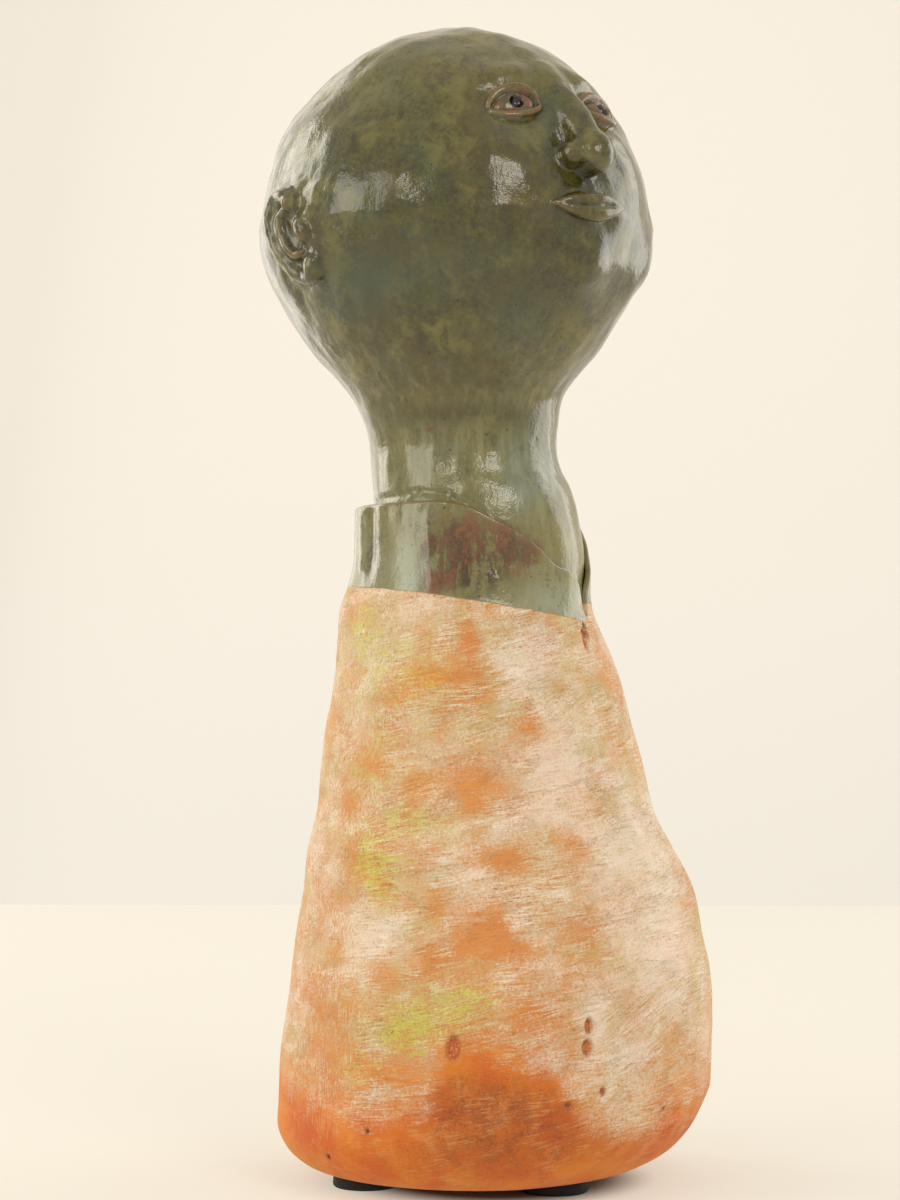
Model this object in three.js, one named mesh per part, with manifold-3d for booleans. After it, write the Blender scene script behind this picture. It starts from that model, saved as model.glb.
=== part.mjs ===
// A hand-built ceramic figure: a bald head tilted back on a short neck, set in a coat-like body
// that widens downwards, standing on four round rubber feet.
// Millimetres, +Z up. The body's front faces -Y and the figure's left is +X.
// The bare form is one closed surface whose rings run out over the underside, up the coat, over
// the collar's lip, down into the gap behind it, and then up the chest, the neck and the head.
// The features are pellets and coils of clay joined to it, and holes pressed into it.
import * as THREE from "three";
import Module from "manifold-3d";

const wasm = await Module();
wasm.setup();

// Heights above the surface the figure stands on.
const FOOT_HEIGHT = 5;
const NECK_HEIGHT = 249;
const HEAD_CENTRE_HEIGHT = 317;
const CROWN_HEIGHT = 384.5;

// The coat and the skin inside it as level slices: [height, radius, how far back its centre is].
const COAT = [
  [5, 71.6, 0.3],
  [29, 72, 0.3],
  [43, 71.7, -0.3],
  [70, 70.1, -2.1],
  [83, 67.5, -1.8],
  [96, 64.7, -1.2],
  [110, 61.2, 1.8],
  [123, 56.8, 3.5],
  [150, 51.7, 5.8],
  [163, 48.5, 6.6],
  [176, 45.2, 8.6],
  [190, 42.1, 10.4],
  [203, 39.7, 8.4],
  [212, 38.4, 7.6],
  [226, 37.5, 8],
];
const SKIN = [
  [172, 42.2, 9],
  [198, 38, 9],
  [210, 36.6, 7.7],
  [223, 33.6, 6.6],
  [230, 32.3, 7.7],
  [237, 31.2, 10.2],
  [244, 31.3, 11.7],
  [251, 32.3, 12.6],
  [261, 35.6, 14.4],
  [269, 42, 14.9],
  [277, 49, 15.2],
  [286, 54.8, 15.3],
  [294, 59.8, 15.3],
  [305, 65, 15.3],
  [317, 67, 15.3],
];

// The rounding under the coat is wider below the belly than behind it.
const EDGE_ROUNDING = 22;
const EDGE_SWING = 7;
const BELLY_ANGLE = 28;

// The collar's rim by angle: an uneven V in front, and a level band round the back.
const RIM = [
  [-180, 223],
  [-100, 225.5],
  [-70, 225],
  [-48, 218.6],
  [-30, 211.5],
  [-19, 205],
  [-9, 203],
  [-1, 198],
  [6, 187],
  [14, 200],
  [28, 219],
  [60, 224],
  [180, 223],
];
const LIP_THICKNESS = 2.4;
const LIP_THINNING = 0.5;
const GAP_DEPTH_IN_FRONT = 7;
const GAP_DEPTH_ELSEWHERE = 1.5;

// The head turns to its right and tilts back. Its face keeps the usual shares of the head's
// height: eyes halfway, brow, nose and chin in thirds, and an eye's width between the eyes.
// Levels are measured along the head's surface, from straight ahead.
const HEAD_TURN = -22;
const HEAD_TILT = 30;
const HEAD_RADIUS = 67;
const CROWN_SLOPE = 0.03;
const HEAD_BREADTH_SHARE = 0.97;
const HEAD_LENGTH_SHARE = 1.02;
const HEAD_HEIGHT = 122;
const EYE_LEVEL = 5;
const EYE_WIDTH = 0.15 * HEAD_HEIGHT;
const BROW_LEVEL = EYE_LEVEL + 0.083 * HEAD_HEIGHT;
const NOSE_LEVEL = EYE_LEVEL - 0.208 * HEAD_HEIGHT;
const MOUTH_LEVEL = EYE_LEVEL - 0.306 * HEAD_HEIGHT;
const CHIN_LEVEL = EYE_LEVEL - 0.47 * HEAD_HEIGHT;
const MOUTH_HALF_WIDTH = 0.75 * EYE_WIDTH;
const EAR_LEVEL = (BROW_LEVEL + NOSE_LEVEL) / 2;
const EAR_HALF_HEIGHT = (BROW_LEVEL - NOSE_LEVEL) / 2;
const EAR_HALF_WIDTH = 10;
const EAR_SET_BACK = 8;

// The rubber feet, stuck on by hand: the centre of each on the underside.
const FOOT_RADIUS = 11;
const FEET = [
  [-34, 30],
  [-12.5, -29],
  [30.5, -8.5],
  [13, 41],
];

const COLUMNS = 54;
const DEGREE = Math.PI / 180;

const clamp = (x, low, high) => Math.min(Math.max(x, low), high);
const mix = (a, b, t) => a + (b - a) * t;
const bell = (x, width) => Math.exp(-((x / width) ** 2));
const smooth = (low, high, x) => {
  const t = clamp((x - low) / (high - low), 0, 1);
  return t * t * (3 - 2 * t);
};
// An angle's difference in degrees, from -180 to 180.
const turnFrom = (angle, from) => ((((angle - from) % 360) + 540) % 360) - 180;

// A smooth curve through one column of the stations.
function along(stations, place, column) {
  const last = stations.length - 2;
  let i = 0;
  while (i < last && place > stations[i + 1][0]) i += 1;
  const slopeAt = (k) => {
    const before = stations[Math.max(k - 1, 0)];
    const after = stations[Math.min(k + 1, last + 1)];
    return (after[column] - before[column]) / (after[0] - before[0]);
  };
  const [from, to] = [stations[i], stations[i + 1]];
  const span = to[0] - from[0];
  const t = clamp((place - from[0]) / span, 0, 1);
  const bend = slopeAt(i) * t * (1 - t) ** 2 - slopeAt(i + 1) * t * t * (1 - t);
  return mix(from[column], to[column], t * t * (3 - 2 * t)) + span * bend;
}

// The level direction at an angle: 0 is the front, and 90 the figure's left.
const outward = (angle) => new THREE.Vector3(Math.sin(angle * DEGREE), -Math.cos(angle * DEGREE), 0);

// Slow swells and hollows that hand building leaves, as a few crossed waves.
const SWELL_WAVES = 7;
const SWELL_HEIGHT = 0.22;
function swell(point) {
  let sum = 0;
  for (let i = 0; i < SWELL_WAVES; i += 1) {
    const level = -0.8 + (1.6 * i) / (SWELL_WAVES - 1);
    const across = Math.sqrt(1 - level * level);
    const way = across * (point.x * Math.cos(2.4 * i) + point.y * Math.sin(2.4 * i)) + point.z * level;
    sum += Math.sin((2 * Math.PI * way) / (34 + 7 * i) + 1.7 * i);
  }
  return SWELL_HEIGHT * sum;
}

const rimHeight = (angle) => along(RIM, turnFrom(angle, 0), 1);
const lipThickness = (angle) => LIP_THICKNESS - LIP_THINNING * Math.cos(angle * DEGREE);
const gapFoot = (angle) =>
  rimHeight(angle) - mix(GAP_DEPTH_ELSEWHERE, GAP_DEPTH_IN_FRONT, bell(turnFrom(angle, 26), 34));
const edgeRounding = (angle) => EDGE_ROUNDING + EDGE_SWING * Math.cos((angle - BELLY_ANGLE) * DEGREE);

// The coat's outer face.
function coatPoint(angle, height) {
  const rounding = edgeRounding(angle);
  const intoEdge = clamp((FOOT_HEIGHT + rounding - height) / rounding, 0, 1);
  const cutBack = rounding * (1 - Math.sqrt(1 - intoEdge ** 2));
  const point = outward(angle).multiplyScalar(along(COAT, height, 1) - cutBack);
  return point.add(new THREE.Vector3(0, along(COAT, height, 2), height));
}

// The chest, neck and bare head.
function skinRadius(angle, height) {
  const above = clamp((height - HEAD_CENTRE_HEIGHT) / (CROWN_HEIGHT - HEAD_CENTRE_HEIGHT), 0, 1);
  const dome = HEAD_RADIUS * (Math.sqrt(1 - above ** 2) - CROWN_SLOPE * Math.sin(Math.PI * above));
  const round = above > 0 ? dome : along(SKIN, height, 1);
  const turn = turnFrom(angle, HEAD_TURN) * DEGREE;
  const oval = 1 / Math.hypot(Math.cos(turn) / HEAD_LENGTH_SHARE, Math.sin(turn) / HEAD_BREADTH_SHARE);
  return round * mix(1, oval, smooth(NECK_HEIGHT, HEAD_CENTRE_HEIGHT - 20, height));
}
function skinPoint(angle, height) {
  const point = outward(angle).multiplyScalar(skinRadius(angle, height));
  return point.add(new THREE.Vector3(0, along(SKIN, height, 2), height));
}

// The head's own directions.
const headCentre = new THREE.Vector3(0, along(SKIN, HEAD_CENTRE_HEIGHT, 2), HEAD_CENTRE_HEIGHT);
const up = new THREE.Vector3(0, 0, 1);
const tilt = HEAD_TILT * DEGREE;
const headFront = outward(HEAD_TURN).multiplyScalar(Math.cos(tilt)).addScaledVector(up, Math.sin(tilt));
const headUp = outward(HEAD_TURN).multiplyScalar(-Math.sin(tilt)).addScaledVector(up, Math.cos(tilt));
const headLeft = outward(HEAD_TURN + 90);

// Broad, quiet forms of the face: sockets, brow, cheeks and chin.
function faceForms(x, y) {
  const side = Math.abs(x);
  const socket = -2.2 * bell(side - EYE_WIDTH, 12) * bell(y - EYE_LEVEL, 8.5);
  const brow = 1.6 * bell(side - 0.95 * EYE_WIDTH, 13) * bell(y - BROW_LEVEL - 3, 5.5);
  const cheeks = 1.6 * bell(side - 1.5 * EYE_WIDTH, 12) * bell(y - NOSE_LEVEL - 3, 12);
  const muzzle = 1.5 * bell(x, 15) * bell(y - MOUTH_LEVEL, 11);
  const chin = 4.2 * bell(x, 13) * bell(y - CHIN_LEVEL, 9);
  return socket + brow + cheeks + muzzle + chin;
}
function formed(point) {
  const from = point.clone().sub(headCentre);
  const front = from.dot(headFront);
  const x = HEAD_RADIUS * Math.asin(clamp(from.dot(headLeft) / from.length(), -1, 1));
  const y = HEAD_RADIUS * Math.atan2(from.dot(headUp), front);
  const onFace = smooth(0, 20, front) * smooth(NECK_HEIGHT, NECK_HEIGHT + 16, point.z);
  return point.clone().addScaledVector(from.normalize(), faceForms(x, y) * onFace);
}

// Directions from the head's centre: to a place on the face, and to one beside an ear.
function faceDirection(x, y) {
  const [across, rise] = [x / HEAD_RADIUS, y / HEAD_RADIUS];
  return headLeft
    .clone()
    .multiplyScalar(Math.sin(across))
    .addScaledVector(headFront, Math.cos(across) * Math.cos(rise))
    .addScaledVector(headUp, Math.cos(across) * Math.sin(rise));
}
function earDirection(side, back, rise) {
  const [behind, over] = [(EAR_SET_BACK + back) / HEAD_RADIUS, (EAR_LEVEL + rise) / HEAD_RADIUS];
  return headLeft
    .clone()
    .multiplyScalar(side * Math.cos(over) * Math.cos(behind))
    .addScaledVector(headFront, -Math.cos(over) * Math.sin(behind))
    .addScaledVector(headUp, Math.sin(over));
}

// The point that lies `lift` above the head's surface in a direction from its centre.
function onHead(direction, lift) {
  const level = Math.hypot(direction.x, direction.y);
  const angle = Math.atan2(direction.x, -direction.y) / DEGREE;
  let [inside, outside] = [0.5 * HEAD_RADIUS, 1.5 * HEAD_RADIUS];
  while (outside - inside > 0.001) {
    const range = (inside + outside) / 2;
    if (range * level < skinRadius(angle, headCentre.z + range * direction.z)) inside = range;
    else outside = range;
  }
  const bare = headCentre.clone().addScaledVector(direction, inside);
  return formed(bare).addScaledVector(direction, lift);
}

// A closed solid from a start point, rings of points that go round with it, and an end point.
function ringSolid(start, rings, end) {
  const points = [start, ...rings.flat(), end];
  const count = rings[0].length;
  const at = (j, i) => 1 + j * count + (i % count);
  const faces = [];
  for (let i = 0; i < count; i += 1) {
    faces.push(0, at(0, i + 1), at(0, i));
    for (let j = 0; j + 1 < rings.length; j += 1) {
      faces.push(at(j, i), at(j, i + 1), at(j + 1, i + 1));
      faces.push(at(j, i), at(j + 1, i + 1), at(j + 1, i));
    }
    faces.push(at(rings.length - 1, i), at(rings.length - 1, i + 1), points.length - 1);
  }
  const vertProperties = new Float32Array(points.flatMap((point) => point.toArray()));
  return new wasm.Manifold(new wasm.Mesh({ numProp: 3, vertProperties, triVerts: new Uint32Array(faces) }));
}

// A rolled coil of clay: a round bar through the points, thinning to nothing at both ends.
const COIL_SIDES = 6;
function coil(points, radiusAt) {
  const rings = [];
  for (let j = 1; j + 1 < points.length; j += 1) {
    const travel = points[j + 1].clone().sub(points[j - 1]).normalize();
    const away = points[j].clone().sub(headCentre);
    const side = away.cross(travel).normalize();
    const over = travel.clone().cross(side);
    const radius = radiusAt(j / (points.length - 1));
    const ring = [];
    for (let k = 0; k < COIL_SIDES; k += 1) {
      const turn = (2 * Math.PI * k) / COIL_SIDES;
      ring.push(
        points[j]
          .clone()
          .addScaledVector(side, radius * Math.cos(turn))
          .addScaledVector(over, radius * Math.sin(turn)),
      );
    }
    rings.push(ring);
  }
  return ringSolid(points[0], rings, points[points.length - 1]);
}

// A rounded pellet on the head, with its half sizes across, up and outwards.
function pellet(direction, lift, [across, high, deep], segments = 12) {
  const sideways = headUp.clone().cross(direction).normalize();
  const upright = direction.clone().cross(sideways);
  const frame = new THREE.Matrix4().makeBasis(
    sideways.multiplyScalar(across),
    upright.multiplyScalar(high),
    direction.clone().multiplyScalar(deep),
  );
  return wasm.Manifold.sphere(1, segments).transform(frame.setPosition(onHead(direction, lift)).elements);
}

// Points of a curve in shares from 0 to 1.
const curve = (steps, place) => Array.from({ length: steps + 1 }, (_, i) => place(i / steps));

// One eye: a ball between two lids, with the pupil pressed in.
function eyeParts(side) {
  const centre = faceDirection(side * EYE_WIDTH, EYE_LEVEL);
  const ball = pellet(centre, -0.6, [0.42 * EYE_WIDTH, 0.3 * EYE_WIDTH, 4.6], 16);
  const lid = (way, high, thickness) =>
    coil(
      curve(10, (t) => {
        const across = -0.52 * EYE_WIDTH * Math.cos(Math.PI * t);
        const rise = EYE_LEVEL + way * high * Math.sin(Math.PI * t);
        const lift = 0.2 + 2 * Math.sin(Math.PI * t);
        return onHead(faceDirection(side * EYE_WIDTH + across, rise), lift);
      }),
      (t) => thickness * (0.35 + 0.65 * Math.sin(Math.PI * t)),
    );
  const pupil = pellet(centre, 4.2, [2, 2, 2.6]);
  return { joined: [ball, lid(1, 0.3 * EYE_WIDTH, 1.7), lid(-1, 0.27 * EYE_WIDTH, 1.4)], pressed: [pupil] };
}

// The nose: a ridge that grows to a round tip, two wings, and the nostrils pressed up into it.
function noseParts() {
  const ridge = coil(
    curve(9, (t) => {
      const level = mix(BROW_LEVEL + 6, NOSE_LEVEL + 2.5, t);
      return onHead(faceDirection(0, level), mix(-4.5, 5.8, t ** 0.9));
    }),
    (t) => 4 + 2 * t,
  );
  const tip = pellet(faceDirection(0, NOSE_LEVEL + 5), 5.4, [6, 5, 6.2], 16);
  const wing = (side) => pellet(faceDirection(side * 5.8, NOSE_LEVEL + 4), 1.8, [3.8, 4.2, 5], 16);
  const nostril = (side) => pellet(faceDirection(side * 3.4, NOSE_LEVEL + 1), 5, [1.9, 4.2, 2.3]);
  return { joined: [ridge, tip, wing(1), wing(-1)], pressed: [nostril(1), nostril(-1)] };
}

// The closed mouth: two lips that thin towards the corners, and the hollow above them.
function mouthParts() {
  const lip = (level, dip, thickness) =>
    coil(
      curve(12, (t) => {
        const x = mix(-1, 1, t) * MOUTH_HALF_WIDTH;
        const bow = dip * bell(x, 2.6);
        return onHead(faceDirection(x, MOUTH_LEVEL + level * Math.sin(Math.PI * t) - bow), 0.3);
      }),
      (t) => thickness * (0.3 + 0.7 * Math.sin(Math.PI * t)),
    );
  const hollow = pellet(faceDirection(0, mix(MOUTH_LEVEL, NOSE_LEVEL, 0.66)), 1.4, [1.7, 3.2, 1.8]);
  return { joined: [lip(2, 0.7, 2.3), lip(-2.6, 0, 2.7)], pressed: [hollow] };
}

// An ear: a rim open to the front, an inner fold, a lobe, a flap, and a hollow behind the flap.
function earParts(side) {
  const rim = coil(
    curve(12, (t) => {
      const turn = mix(140, -115, t) * DEGREE;
      const back = EAR_HALF_WIDTH * 0.85 * Math.cos(turn);
      const rise = EAR_HALF_HEIGHT * 0.88 * Math.sin(turn);
      return onHead(earDirection(side, back, rise), 1.5);
    }),
    (t) => 3 - 0.9 * t,
  );
  const fold = coil(
    curve(8, (t) => {
      const turn = mix(100, -100, t) * DEGREE;
      return onHead(earDirection(side, 4 * Math.cos(turn) - 0.5, 8 * Math.sin(turn) + 1.5), 0.7);
    }),
    () => 1.6,
  );
  const lobe = pellet(earDirection(side, -3, -0.78 * EAR_HALF_HEIGHT), 1, [4, 4.2, 2.6]);
  const flap = pellet(earDirection(side, -7, -1), 0.6, [2.6, 3.6, 2.4]);
  const hollow = pellet(earDirection(side, -2, -2), 0.6, [3, 4, 2.2]);
  return { joined: [rim, fold, lobe, flap], pressed: [hollow] };
}

// The rings of the bare form, from the underside's edge to just below the crown.
function bareRings() {
  const rings = [];
  const addRing = (place) => {
    rings.push(
      curve(COLUMNS, (t) => {
        const angle = HEAD_TURN + 180 + 360 * t;
        const point = place(angle);
        const onSide = smooth(FOOT_HEIGHT, FOOT_HEIGHT + 15, point.z);
        return point.addScaledVector(outward(angle), swell(point) * onSide);
      }).slice(0, COLUMNS),
    );
  };
  for (const share of [0, 0.06, 0.22, 0.5, 1]) {
    addRing((angle) => coatPoint(angle, FOOT_HEIGHT + share * edgeRounding(angle)));
  }
  const coatRings = 9;
  for (let i = 1; i <= coatRings; i += 1) {
    addRing((angle) => {
      const bottom = FOOT_HEIGHT + edgeRounding(angle);
      const top = rimHeight(angle) - lipThickness(angle) / 2;
      return coatPoint(angle, mix(bottom, top, i / coatRings));
    });
  }
  const lipSteps = 3;
  for (let i = 1; i <= lipSteps; i += 1) {
    addRing((angle) => {
      const half = lipThickness(angle) / 2;
      const turn = (Math.PI * i) / lipSteps;
      const edge = coatPoint(angle, rimHeight(angle) - half);
      edge.addScaledVector(outward(angle), -half * (1 - Math.cos(turn)));
      edge.z += half * Math.sin(turn);
      return edge;
    });
  }
  addRing((angle) =>
    coatPoint(angle, gapFoot(angle)).addScaledVector(outward(angle), -lipThickness(angle)),
  );
  const neckRings = 6;
  for (let i = 0; i < neckRings; i += 1) {
    addRing((angle) => skinPoint(angle, mix(gapFoot(angle), NECK_HEIGHT, i / neckRings)));
  }
  const lowerHeadRings = 11;
  for (let i = 0; i < lowerHeadRings; i += 1) {
    const height = mix(NECK_HEIGHT, HEAD_CENTRE_HEIGHT, (i / lowerHeadRings) ** 1.2);
    addRing((angle) => formed(skinPoint(angle, height)));
  }
  const upperHeadRings = 14;
  for (let i = 0; i < upperHeadRings; i += 1) {
    const rise = Math.sin((Math.PI / 2) * (i / upperHeadRings));
    const height = mix(HEAD_CENTRE_HEIGHT, CROWN_HEIGHT, rise);
    addRing((angle) => formed(skinPoint(angle, height)));
  }
  return rings;
}

function figureSolid() {
  const underside = new THREE.Vector3(0, along(COAT, FOOT_HEIGHT, 2), FOOT_HEIGHT);
  const crown = new THREE.Vector3(0, headCentre.y, CROWN_HEIGHT);
  const features = [eyeParts(1), eyeParts(-1), noseParts(), mouthParts(), earParts(1), earParts(-1)];
  let solid = ringSolid(underside, bareRings(), crown);
  for (const { joined } of features) {
    for (const piece of joined) solid = solid.add(piece);
  }
  for (const { pressed } of features) {
    for (const piece of pressed) solid = solid.subtract(piece);
  }
  return solid;
}

function meshGeometry(solid) {
  const mesh = solid.getMesh();
  const geometry = new THREE.BufferGeometry();
  geometry.setAttribute("position", new THREE.BufferAttribute(new Float32Array(mesh.vertProperties), 3));
  geometry.setIndex(Array.from(mesh.triVerts));
  geometry.computeVertexNormals();
  return geometry;
}

// A stick-on rubber foot: a low disc with a rounded lower edge.
function footGeometry() {
  const rounding = 1.2;
  const profile = [new THREE.Vector2(0, 0)];
  for (const turn of [0, 90]) {
    const across = FOOT_RADIUS - rounding * (1 - Math.sin(turn * DEGREE));
    profile.push(new THREE.Vector2(across, rounding * (1 - Math.cos(turn * DEGREE))));
  }
  profile.push(new THREE.Vector2(FOOT_RADIUS - 0.4, FOOT_HEIGHT - 0.3));
  profile.push(new THREE.Vector2(0, FOOT_HEIGHT - 0.3));
  return new THREE.LatheGeometry(profile, 22).rotateX(Math.PI / 2);
}

const clay = new THREE.MeshStandardMaterial({ color: 0xc98a5e, roughness: 0.75, metalness: 0 });
const rubber = new THREE.MeshStandardMaterial({ color: 0x121212, roughness: 0.85, metalness: 0 });

const part = new THREE.Group();
const figure = new THREE.Mesh(meshGeometry(figureSolid()), clay);
figure.name = "figure";
part.add(figure);

FEET.forEach(([x, y], k) => {
  const foot = new THREE.Mesh(footGeometry(), rubber);
  foot.position.set(x, y, 0);
  foot.name = `rubber_foot_${k + 1}`;
  part.add(foot);
});

// The origin goes under the middle of the whole thing's bounding box.
const middle = new THREE.Box3().setFromObject(part).getCenter(new THREE.Vector3());
for (const piece of part.children) {
  piece.position.x -= middle.x;
  piece.position.y -= middle.y;
}

export default part;
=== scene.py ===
"""A hand-built ceramic figure: a glazed bald head and collar on a coat-like body of bare fired clay
that has been brushed with thin slips, standing on four stick-on rubber feet.

Forms are worked out in millimetres in the lathe's own frame (+Z up, the coat's front towards -Y,
angle 0 at the front and 90 at the figure's left) and moved into the frame's metres at the end.
"""
import math

import bmesh
import bpy
import numpy as np
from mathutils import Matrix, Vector, noise


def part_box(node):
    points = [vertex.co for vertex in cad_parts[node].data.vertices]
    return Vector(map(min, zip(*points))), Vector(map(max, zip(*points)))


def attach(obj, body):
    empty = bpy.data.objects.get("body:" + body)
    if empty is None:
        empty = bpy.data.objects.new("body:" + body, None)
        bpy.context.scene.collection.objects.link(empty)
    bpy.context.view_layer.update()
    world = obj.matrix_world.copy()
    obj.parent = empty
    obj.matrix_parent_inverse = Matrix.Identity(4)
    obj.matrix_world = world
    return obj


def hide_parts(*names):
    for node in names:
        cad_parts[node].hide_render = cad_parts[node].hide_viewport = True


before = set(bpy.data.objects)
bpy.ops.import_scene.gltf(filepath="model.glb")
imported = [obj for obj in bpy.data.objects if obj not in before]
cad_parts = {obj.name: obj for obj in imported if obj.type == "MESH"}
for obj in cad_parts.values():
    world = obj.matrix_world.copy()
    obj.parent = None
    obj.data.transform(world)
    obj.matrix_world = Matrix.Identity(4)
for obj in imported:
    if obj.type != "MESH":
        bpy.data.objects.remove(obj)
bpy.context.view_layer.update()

MM = 0.001

# The rubber feet's centres in the lathe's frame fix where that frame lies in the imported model.
FEET = [(-34, 30), (-12.5, -29), (30.5, -8.5), (13, 41)]
FOOT_RADIUS = 11
FOOT_ROUNDING = 1.2
FOOT_CLEARANCE = 0.3
first_foot = [(low + high) / 2 / MM for low, high in zip(*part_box("rubber_foot_1"))]
ORIGIN = np.array([first_foot[0] - FEET[0][0], first_foot[1] - FEET[0][1], 0])

# Heights above the table.
FOOT_HEIGHT = 5
NECK_HEIGHT = 249
HEAD_CENTRE_HEIGHT = 317
CROWN_HEIGHT = 384.5

# The coat and the skin inside it as level slices: height, radius, how far back its centre is.
COAT = np.array([
    [5, 71.6, 0.3], [29, 72, 0.3], [43, 71.7, -0.3], [70, 70.1, -2.1], [83, 67.5, -1.8],
    [96, 64.7, -1.2], [110, 61.2, 1.8], [123, 56.8, 3.5], [150, 51.7, 5.8], [163, 48.5, 6.6],
    [176, 45.2, 8.6], [190, 42.1, 10.4], [203, 39.7, 8.4], [212, 38.4, 7.6], [226, 37.5, 8],
])
SKIN = np.array([
    [172, 42.2, 9], [198, 38, 9], [210, 36.9, 7.7], [223, 34.3, 6.6], [230, 33.3, 7.7],
    [237, 31.8, 10.2], [244, 31.3, 11.7], [251, 32.3, 12.6], [261, 35.6, 14.4], [269, 42, 14.9],
    [277, 49, 15.2], [286, 54.8, 15.3], [294, 59.8, 15.3], [305, 65, 15.3], [317, 67, 15.3],
])
AXIS_SET_BACK = SKIN[-1, 2] / 2
EDGE_ROUNDING = 22
EDGE_SWING = 7
BELLY_ANGLE = 28

# The lower edge is cut back below a crest under the belly: the crest's height by angle.
CREST = np.array([
    [-180, 5], [-58, 5], [-36, 15], [-22, 19.5], [-6, 26], [15, 32], [40, 33], [70, 24], [110, 5],
    [180, 5],
])
CREST_STEP = 0.7
CREST_SLOPE = 0.1
CREST_FADE = 3

# The collar's rim by angle: an uneven V in front, and a level band round the back.
RIM = np.array([
    [-180, 223], [-100, 225.5], [-70, 225], [-48, 218.6], [-30, 211.5], [-19, 205], [-9, 203],
    [-1, 198], [6, 187], [14, 198], [24, 206], [34, 213], [44, 218], [58, 222], [80, 224],
    [180, 223],
])
LIP_THICKNESS = 2.4
LIP_THINNING = 0.5
GAP_DEPTH_IN_FRONT = 7
GAP_DEPTH_ELSEWHERE = 1.5
GAP_ANGLE = 26
GAP_SPREAD = 34
FILLET = 3
SHOULDER_ANGLE = -150
SHOULDER_SPREAD = 50
SHOULDER_SWELL = 1.5

# The head turns to its right and tilts back. Its face keeps the usual shares of the head's height:
# eyes halfway, brow, nose and chin in thirds, and an eye's width between the eyes.
HEAD_TURN = -22
HEAD_TILT = math.radians(30)
HEAD_RADIUS = 67
CROWN_SLOPE = 0.03
HEAD_BREADTH_SHARE = 0.97
HEAD_LENGTH_SHARE = 1.02
HEAD_HEIGHT = 122
EYE_LEVEL = 5
EYE_WIDTH = 0.15 * HEAD_HEIGHT
BROW_LEVEL = EYE_LEVEL + 0.083 * HEAD_HEIGHT
NOSE_LEVEL = EYE_LEVEL - 0.208 * HEAD_HEIGHT
MOUTH_LEVEL = EYE_LEVEL - 0.306 * HEAD_HEIGHT
CHIN_LEVEL = EYE_LEVEL - 0.47 * HEAD_HEIGHT
MOUTH_HALF_WIDTH = 0.75 * EYE_WIDTH
EAR_LEVEL = (BROW_LEVEL + NOSE_LEVEL) / 2
EAR_HALF_HEIGHT = (BROW_LEVEL - NOSE_LEVEL) / 2
EAR_HALF_WIDTH = 10
EAR_SET_BACK = 8
NOSTRIL_ACROSS = 3.4
NOSTRIL_LEVEL = NOSE_LEVEL + 1
NOSTRIL_LIFT = 5

# The camera looks almost level, from this far round the coat's front. Its place is in metres, and
# its lens and its picture's long side are in mm.
CAMERA_ANGLE = -62
CAMERA_DISTANCE = 1.1
CAMERA_HEIGHT = 0.2
AIM_HEIGHT = 0.1932
AIM_ACROSS = -0.015
LENS = 98.7
LONG_SIDE = 36

# The stage, in metres from the figure.
TABLE_BEHIND = 0.92
TABLE_IN_FRONT = 2.5
WALL_BEHIND = 1.6
WALL_FOOT = -1
WALL_TOP = 3
STAGE_HALF_WIDTH = 3


# Small helpers that work on whole arrays.

def mix(a, b, t):
    return a + (b - a) * t


def bell(x, width):
    return np.exp(-((x / width) ** 2))


def smooth(low, high, x):
    t = np.clip((x - low) / (high - low), 0, 1)
    return t * t * (3 - 2 * t)


def turn_from(angle, start):
    return (angle - start + 180) % 360 - 180


def unit(vectors):
    return vectors / np.linalg.norm(vectors, axis=-1, keepdims=True)


def outward(angle):
    """The level direction at an angle in degrees."""
    turn = np.radians(angle)
    return np.stack([np.sin(turn), -np.cos(turn), np.zeros_like(turn)], axis=-1)


def angle_of(vectors):
    """The angle in degrees of each vector's level direction."""
    return np.degrees(np.arctan2(vectors[:, 0], -vectors[:, 1]))


BASE = Vector(ORIGIN) * MM
AWAY = Vector(outward(CAMERA_ANGLE).tolist())
ACROSS = Vector((-AWAY.y, AWAY.x, 0))


def along(stations, place, column):
    """A smooth curve through one column of the stations."""
    at, value = stations[:, 0], stations[:, column]
    slopes = np.empty_like(value)
    slopes[1:-1] = (value[2:] - value[:-2]) / (at[2:] - at[:-2])
    slopes[0] = (value[1] - value[0]) / (at[1] - at[0])
    slopes[-1] = (value[-1] - value[-2]) / (at[-1] - at[-2])
    i = np.clip(np.searchsorted(at, place) - 1, 0, len(at) - 2)
    span = at[i + 1] - at[i]
    t = np.clip((place - at[i]) / span, 0, 1)
    bend = slopes[i] * t * (1 - t) ** 2 - slopes[i + 1] * t * t * (1 - t)
    return mix(value[i], value[i + 1], t * t * (3 - 2 * t)) + span * bend


# The bare form.

def rim_height(angle):
    return along(RIM, turn_from(angle, 0), 1)


def lip_thickness(angle):
    return LIP_THICKNESS - LIP_THINNING * np.cos(np.radians(angle))


def gap_foot(angle):
    depth = mix(GAP_DEPTH_ELSEWHERE, GAP_DEPTH_IN_FRONT, bell(turn_from(angle, GAP_ANGLE), GAP_SPREAD))
    return rim_height(angle) - depth


def edge_rounding(angle):
    return EDGE_ROUNDING + EDGE_SWING * np.cos(np.radians(angle - BELLY_ANGLE))


def level_point(angle, radius, set_back, height):
    point = outward(angle) * radius[..., None]
    point[..., 1] += set_back
    point[..., 2] = height
    return point


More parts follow.
